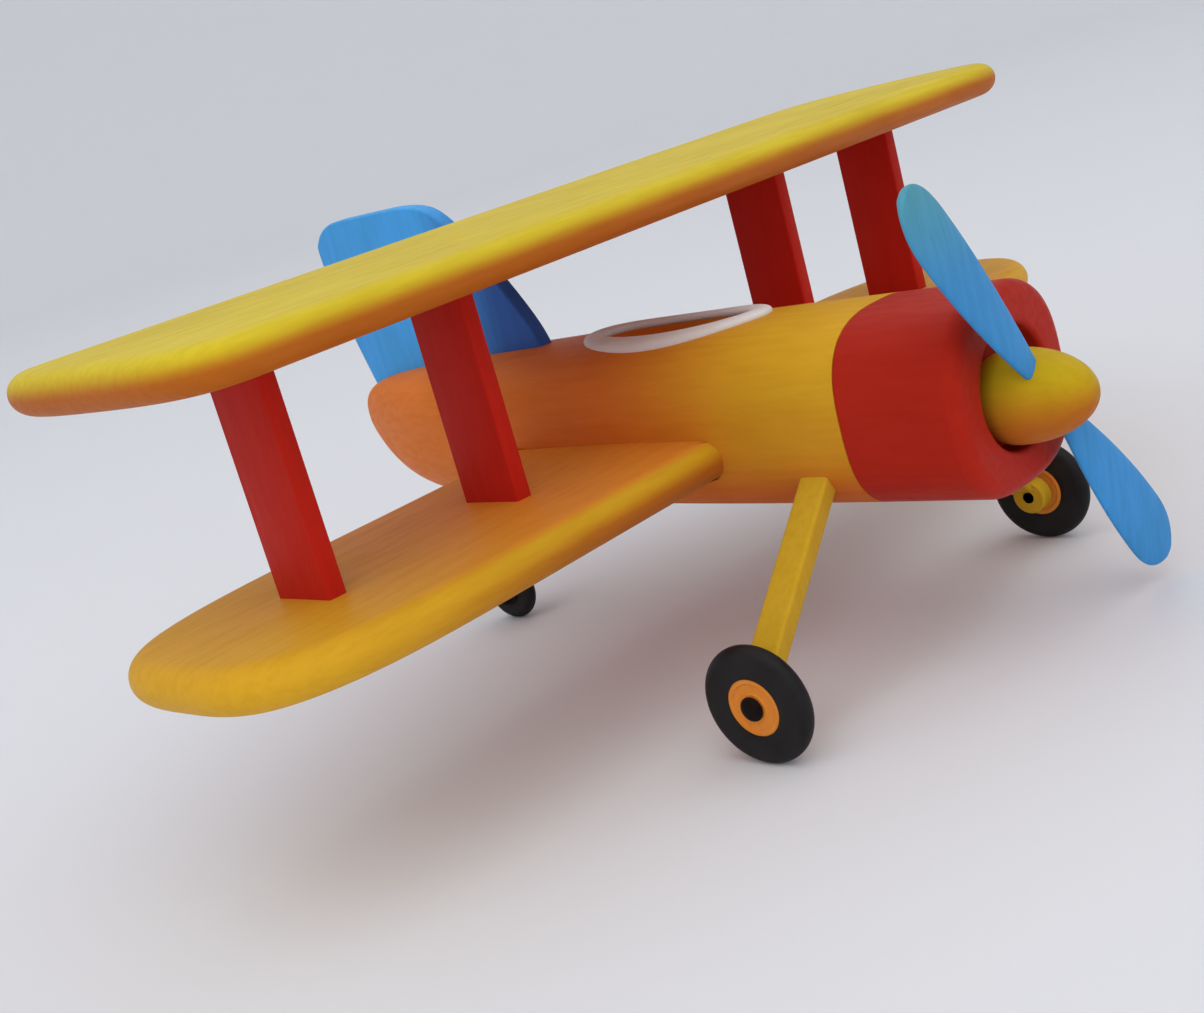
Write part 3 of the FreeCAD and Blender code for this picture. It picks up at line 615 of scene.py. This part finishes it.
def build_strut(node):
    """Plank with lightly sanded edges, its ends sunk a little into both wings."""
    sink = 0.6 * MM
    low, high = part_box(node)
    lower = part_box("lower_wing_right")[1].z - sink
    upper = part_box("upper_wing")[0].z + sink
    outline = [(low.x, low.y), (high.x, low.y), (high.x, high.y), (low.x, high.y)]
    middle, height = (lower + upper) / 2, upper - lower

    def place(point, lift):
        return (point[0], point[1], middle + lift)

    plank = plate(f"{node}_plank", outline, height, place)
    bevel(plank, 0.55 * MM, 3)
    smooth(plank, 40)
    finish_piece(plank, RED_STRUT, AIRFRAME, "red_paint", node)


# ---------------------------------------------------------------- tail fin

FIN_SINK = 9 * MM
FIN_EDGE = 1.5 * MM


def build_fin():
    """Swept plate with a rounded crown; its foot is sunk in the fuselage's back."""
    low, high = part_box("tail_fin")
    foot = TOP - FIN_SINK
    front, back, top = high.x, low.x, high.z
    leading = [(front + 0.5 * MM, foot), (front, TOP - 1 * MM), (front - 3.8 * MM, top - 40 * MM),
               (front - 12 * MM, top - 27 * MM), (front - 21.5 * MM, top - 14.5 * MM)]
    crown_front = [(front - 30.3 * MM, top - 5.2 * MM), (front - 37.5 * MM, top - 1.6 * MM),
                   (front - 47 * MM, top - 0.2 * MM)]
    crown_back = [(back + 32 * MM, top), (back + 15 * MM, top), (back + 7 * MM, top - 1.2 * MM),
                  (back + 1.7 * MM, top - 4.8 * MM), (back, top - 10.5 * MM)]
    trailing = [(back + 3 * MM, top - 32 * MM), (back + 9.7 * MM, foot)]
    guide = leading + crown_front + crown_back + trailing
    outline = [(x, min(z, top)) for x, z in rounded_path(guide)]
    fin = plate("tail_fin_plate", outline, high.y - low.y,
                lambda point, shift: (point[0], shift, point[1]))
    bevel(fin, FIN_EDGE, 4, 60)
    smooth(fin, 50)
    finish_piece(fin, BLUE_FIN, AIRFRAME, "blue_paint", "tail_fin")


# ---------------------------------------------------------------- legs, wheels, tail fork

LEG_FOOT_AFT, LEG_FOOT_OUT, LEG_FOOT_HEIGHT = 2.5 * MM, 65.8 * MM, 17.6 * MM
LEG_TOP_AFT, LEG_TOP_OUT, LEG_TOP_HEIGHT = 5.2 * MM, 18.0 * MM, 56.8 * MM
LEG_HALF_WIDTH, LEG_HALF_THICK = 4.35 * MM, 2.6 * MM
LEG_POWER = 7
BOSS_FACE = 67.9 * MM
MAIN_BORE = 2.05 * MM
TAIL_BORE = 1.25 * MM
FORK_SINK = 3 * MM
SLOT_SIDE_ROOM, SLOT_TOP_ROOM = 1 * MM, 2.8 * MM
SLOT_REACH = 20 * MM  # how far the slot's cutter goes below the ground


def build_leg(name, side):
    """Slanted plank with softened edges, ending in a boss behind the wheel."""
    tyre_low, tyre_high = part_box(f"tyre_{name}")
    axle = (tyre_low + tyre_high) / 2
    foot = Vector((axle.x - LEG_FOOT_AFT, side * LEG_FOOT_OUT, LEG_FOOT_HEIGHT))
    top = Vector((axle.x - LEG_TOP_AFT, side * LEG_TOP_OUT, LEG_TOP_HEIGHT))
    along = (top - foot).normalized()
    fore = (Vector((1, 0, 0)) - along * along.x).normalized()
    out = along.cross(fore)
    across, up = superellipse(LEG_HALF_WIDTH, LEG_HALF_THICK, LEG_POWER, 48)
    rings = []
    for share in np.linspace(0, 1, 24):
        middle = foot.lerp(top, share)
        rings.append([tuple(middle + fore * a + out * b) for a, b in zip(across, up)])
    leg = loft(f"landing_leg_{name}_plank", rings)
    size, flat, tiny = 5.0 * MM, 4.4 * MM, 0.2 * MM
    profile = [(0.0, tiny), (0.0, flat), (0.6 * MM, size), (flat, size), (size, flat), (size, tiny)]
    boss_face = side * BOSS_FACE
    centre = Vector((axle.x, min(boss_face, boss_face - side * size), axle.z))
    boolean(leg, loft("boss_tool", lathe(profile, centre, ABOUT_Y, 48)), "UNION")
    smooth(leg, 40)
    finish_piece(leg, YELLOW, AIRFRAME, "yellow_paint", f"landing_leg_{name}")


def tyre_profile(outer, inner, half_width):
    """Closed section: straight inner seat, soft shoulders and a round tread."""
    flank = outer - half_width
    wall = [(half_width * 0.96, inner + (flank - inner) * 0.5),
            (half_width, inner + 0.5 * MM), (half_width * 0.9, inner)]
    tread = [(x, flank + max(r, 0.0)) for x, r in arc((0, 0), half_width, 180, 0, 26)]
    return [(-x, r) for x, r in wall[::-1]] + tread + wall


def hub_profile(outer, half_width, bore):
    """Closed section: raised outer lip, shallow dish and a raised middle."""
    lip, dish = 1.1 * MM, 0.45 * MM
    face = [(half_width * 0.92, outer), (half_width, outer - 0.4 * MM),
            (half_width, outer - lip), (half_width - dish, outer - lip - 0.5 * MM),
            (half_width - dish, bore + 1.7 * MM), (half_width - 0.1 * MM, bore + 1.3 * MM),
            (half_width - 0.1 * MM, bore)]
    return face + [(-x, r) for x, r in face[::-1]]


def build_wheel(hub_node, tyre_node, body, bore, hub_slot, hub_paint):
    """Rubber tyre round a painted hub, both turned about the axle."""
    low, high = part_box(tyre_node)
    centre = (low + high) / 2
    outer, half_width = (high.z - low.z) / 2, (high.y - low.y) / 2
    hub_low, hub_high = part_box(hub_node)
    inner = (hub_high.z - hub_low.z) / 2
    tyre = loft(f"{tyre_node}_ring",
                lathe(tyre_profile(outer, inner, half_width), centre, ABOUT_Y), True)
    finish_piece(smooth(tyre, 50), RUBBER, body, "black_rubber", tyre_node)
    hub_half = (hub_high.y - hub_low.y) / 2
    hub = loft(f"{hub_node}_disc",
               lathe(hub_profile(inner, hub_half, bore), centre, ABOUT_Y), True)
    finish_piece(smooth(hub, 30), hub_paint, body, hub_slot, hub_node)


def build_peg(name, side):
    """Axle peg: shank, and a domed head outside the hub."""
    low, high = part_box(f"axle_peg_{name}")
    centre = Vector(((low.x + high.x) / 2, 0, (low.z + high.z) / 2))
    head_radius, shank = (high.z - low.z) / 2, 2.0 * MM
    end = max(abs(low.y), abs(high.y))
    near = min(abs(low.y), abs(high.y))
    rim, dome = 0.3 * MM, 1.1 * MM
    under = end - 1.4 * MM
    profile = [(near, 0.1 * MM), (near, shank - rim), (near + rim, shank),
               (under, shank), (under, head_radius - 0.1 * MM), (under + rim, head_radius)]
    profile += [(under + rim + dome * math.sin(a), head_radius * math.cos(a) ** 0.6)
                for a in np.linspace(0.15, 1.5, 10)]
    placed = [(side * y, r) for y, r in profile]
    peg = smooth(loft(f"axle_peg_{name}_pin", lathe(placed, centre, ABOUT_Y, 48)), 35)
    finish_piece(peg, BLACK, AIRFRAME, "black_paint", f"axle_peg_{name}")


def build_fork():
    """Wooden fork over the tail wheel, with round ends and softened edges."""
    low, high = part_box("tail_fork")
    wheel_low, wheel_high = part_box("tail_tyre")
    axle = (wheel_low + wheel_high) / 2
    half_chord = (high.x - low.x) / 2
    side = [(axle.x + x, axle.z + z) for x, z in arc((0, 0), half_chord, 180, 360, 24)]
    _, belly_middle, belly_half_height = fuselage_section(axle.x)
    top = belly_middle - belly_half_height + FORK_SINK
    side += [(axle.x + half_chord, top), (axle.x - half_chord, top)]
    fork = plate("tail_fork_block", side, high.y - low.y,
                 lambda point, shift: (point[0], shift, point[1]))
    gap = (wheel_high.y - wheel_low.y) / 2 + SLOT_SIDE_ROOM
    slot_top = wheel_high.z + SLOT_TOP_ROOM
    slot = [(-gap, -SLOT_REACH), (gap, -SLOT_REACH)]
    slot += [(x, slot_top - gap + z) for x, z in arc((0, 0), gap, 0, 180, 16)]
    tool = plate("slot_tool", slot, 4 * half_chord,
                 lambda point, shift: (axle.x + shift, point[0], point[1]))
    boolean(fork, tool, "DIFFERENCE")
    bevel(fork, 0.5 * MM, 3, 40)
    smooth(fork, 40)
    finish_piece(fork, BLACK, AIRFRAME, "black_paint", "tail_fork")


# ---------------------------------------------------------------- propeller

spinner_low, spinner_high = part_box("spinner")
SHAFT_HEIGHT = (spinner_low.z + spinner_high.z) / 2
NOSE_LENGTH = 20.1 * MM
REAR_LENGTH = 12 * MM


def build_spinner():
    """Egg nose: a long front, and a shorter back that goes into the cowl's dish."""
    radius = (spinner_high.z - spinner_low.z) / 2
    widest = spinner_high.x - NOSE_LENGTH
    back = spinner_low.x
    profile = [(back, 0.3 * MM), (back, radius * 0.8)]
    for x in np.linspace(back + 0.4 * MM, widest, 12, endpoint=False):
        profile.append((x, radius * math.sqrt(1 - ((widest - x) / REAR_LENGTH) ** 2)))
    for angle in np.linspace(0, 89.5, 48):
        turn = math.radians(angle)
        profile.append((widest + (spinner_high.x - widest) * math.sin(turn),
                        radius * math.cos(turn)))
    centre = Vector((0, 0, SHAFT_HEIGHT))
    egg = smooth(loft("spinner_egg", lathe(profile, centre, ABOUT_X)), 40)
    finish_piece(egg, SPINNER_YELLOW, "propeller", "yellow_paint", "spinner")


BLADE_TILT = math.radians(36.5)
BLADE_PITCH = math.radians(6.2)
BLADE_REACH = 71.4 * MM
BLADE_ROOT = 4.5 * MM
BLADE_HALF_THICK = 1.35 * MM
BLADE_TAPER = 0.2
BLADE_SECTION_POWER = 2.6
NECK, BELLY, BELLY_SHARE = 1.8 * MM, 8.75 * MM, 0.78


def blade_half_width(share):
    """Half width along the blade: narrow neck, belly far out, blunt round tip."""
    if share < BELLY_SHARE:
        swell = math.sin(math.pi / 2 * share / BELLY_SHARE) ** 0.9
        return NECK + (BELLY - NECK) * swell
    return BELLY * (1 - ((share - BELLY_SHARE) / (1 - BELLY_SHARE)) ** 2.4) ** 0.5


def build_blade(node, turn):
    """Paddle blade with a rounded flat section, pitched about its own length."""
    low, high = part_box(node)
    station = (low.x + high.x) / 2
    hub = Vector((station, 0, SHAFT_HEIGHT))
    angle = BLADE_TILT + turn
    out = Vector((0, -math.sin(angle), math.cos(angle)))
    side = Vector((0, -math.cos(angle), -math.sin(angle)))
    face = Vector((1, 0, 0))
    chord = side * math.cos(BLADE_PITCH) + face * math.sin(BLADE_PITCH)
    normal = face * math.cos(BLADE_PITCH) - side * math.sin(BLADE_PITCH)
    rings = []
    for step in np.linspace(0, 1, 60):
        share = 1 - (1 - step) ** 1.6
        reach = BLADE_ROOT + (BLADE_REACH - BLADE_ROOT) * share
        half = max(blade_half_width(share), 0.05 * MM)
        thick = BLADE_HALF_THICK * min(1.0, half / (2.4 * MM)) * (1 - BLADE_TAPER * share)
        across, up = superellipse(half, thick, BLADE_SECTION_POWER, 40)
        rings.append([tuple(hub + out * reach + chord * a + normal * b)
                      for a, b in zip(across, up)])
    blade = smooth(loft(f"{node}_paddle", rings), 50)
    finish_piece(blade, BLUE_BLADE, "propeller", "blue_paint", node)


# ---------------------------------------------------------------- hidden pieces

def dress_hidden_nodes():
    """Dowels, rods and rings keep their CAD shape and get their own material."""
    finishes = {
        "cowl_dowels": DOWEL_X, "wing_dowels": DOWEL_Y, "leg_dowels": DOWEL_Y,
        "tail_fork_dowel": DOWEL_Z, "tail_axle_pin": STEEL, "propeller_shaft": STEEL,
        "shaft_collar": STEEL, "shaft_bush": BRASS, "thrust_washer": BRASS,
    }
    for node, material in finishes.items():
        mesh = frame["nodes"][node].data
        mesh.materials.clear()
        mesh.materials.append(material)


# ---------------------------------------------------------------- stage

def build_stage():
    """Pale floor that curves up into a pale wall all round, far behind the model."""
    material = bpy.data.materials.new("stage_paper")
    material.use_nodes = True
    shader = material.node_tree.nodes["Principled BSDF"]
    shader.inputs["Base Color"].default_value = srgb(230, 231, 234)
    shader.inputs["Roughness"].default_value = 0.9
    shader.inputs["Specular IOR Level"].default_value = 0.1
    reach, bend, wall_top = 3.0, 1.5, 4.0
    profile = [(0.001, 0.0), (reach, 0.0)]
    profile += [(reach + bend * math.sin(a), bend * (1 - math.cos(a)))
                for a in np.linspace(0.1, math.pi / 2, 12)]
    profile.append((reach + bend, wall_top))
    rings = []
    for radius, height in profile:
        ring = [(radius * math.cos(a), radius * math.sin(a), height)
                for a in np.linspace(0, TAU, 96, endpoint=False)]
        rings.append(ring)
    count = len(rings[0])
    vertices = [p for ring in rings for p in ring]
    faces = [tuple(range(count))]
    for level in range(len(rings) - 1):
        for index in range(count):
            follower = (index + 1) % count
            faces.append((level * count + index, level * count + follower,
                          (level + 1) * count + follower, (level + 1) * count + index))
    mesh = bpy.data.meshes.new("stage_floor")
    mesh.from_pydata(vertices, [], faces)
    floor = bpy.data.objects.new("stage_floor", mesh)
    bpy.context.scene.collection.objects.link(floor)
    floor.data.materials.append(material)
    smooth(floor, 60)


def area_light(name, spot, aim, width, power, colour):
    """Round soft light at a spot, turned towards what it is aimed at."""
    lamp = bpy.data.lights.new(name, "AREA")
    lamp.shape = "DISK"
    lamp.size = width
    lamp.energy = power
    lamp.color = colour
    obj = bpy.data.objects.new(name, lamp)
    obj.location = spot
    obj.rotation_euler = (Vector(aim) - Vector(spot)).to_track_quat("-Z", "Y").to_euler()
    bpy.context.scene.collection.objects.link(obj)


def light_scene():
    """Even studio light from all round, a soft key from above and a weak fill from the bow."""
    world = bpy.data.worlds.new("studio")
    bpy.context.scene.world = world
    world.use_nodes = True
    background = world.node_tree.nodes["Background"]
    background.inputs["Color"].default_value = (0.96, 0.97, 1.0, 1)
    background.inputs["Strength"].default_value = 0.95
    area_light("key", (0.35, -0.8, 1.35), (0, 0, 0.06), 2.2, 6.0, (1.0, 0.98, 0.95))
    area_light("fill", (1.1, -0.5, 0.5), (0, 0, 0.05), 1.6, 2.5, (1.0, 0.99, 0.98))


CAMERA_LENS = 47.96
CAMERA_PLACE = (0.3065, -0.3280, 0.1606)
CAMERA_RIGHT = (0.716, 0.647, -0.262)
CAMERA_BACK = (0.698, -0.671, 0.25)


def place_camera():
    """The camera stands off the starboard bow, a little above, and is rolled anticlockwise."""
    data = bpy.data.cameras.new("camera")
    data.lens = CAMERA_LENS
    data.sensor_width = 36
    data.clip_start = 0.01
    data.clip_end = 50
    camera = bpy.data.objects.new("camera", data)
    right = Vector(CAMERA_RIGHT).normalized()
    back = Vector(CAMERA_BACK)
    back = (back - right * back.dot(right)).normalized()
    up = back.cross(right)
    turn = Matrix((right, up, back)).transposed().to_4x4()
    camera.matrix_world = Matrix.Translation(CAMERA_PLACE) @ turn
    bpy.context.scene.collection.objects.link(camera)
    bpy.context.scene.camera = camera


def main():
    scene = bpy.context.scene
    scene.view_settings.view_transform = "Standard"
    place_camera()
    light_scene()
    build_stage()
    build_fuselage()
    build_coaming()
    build_cowl()
    build_upper_wing()
    for name, side in (("right", -1), ("left", 1)):
        build_lower_wing(name, side)
        for place in ("outer", "inner"):
            build_strut(f"strut_{name}_{place}")
        build_leg(name, side)
        build_wheel(f"wheel_hub_{name}", f"tyre_{name}", f"{name}_wheel", MAIN_BORE,
                    "hub_paint", HUB)
        build_peg(name, side)
    build_fin()
    build_fork()
    build_wheel("tail_wheel_hub", "tail_tyre", "tail_wheel", TAIL_BORE, "black_paint", BLACK)
    build_spinner()
    build_blade("propeller_blade_upper", 0.0)
    build_blade("propeller_blade_lower", math.pi)
    dress_hidden_nodes()


main()
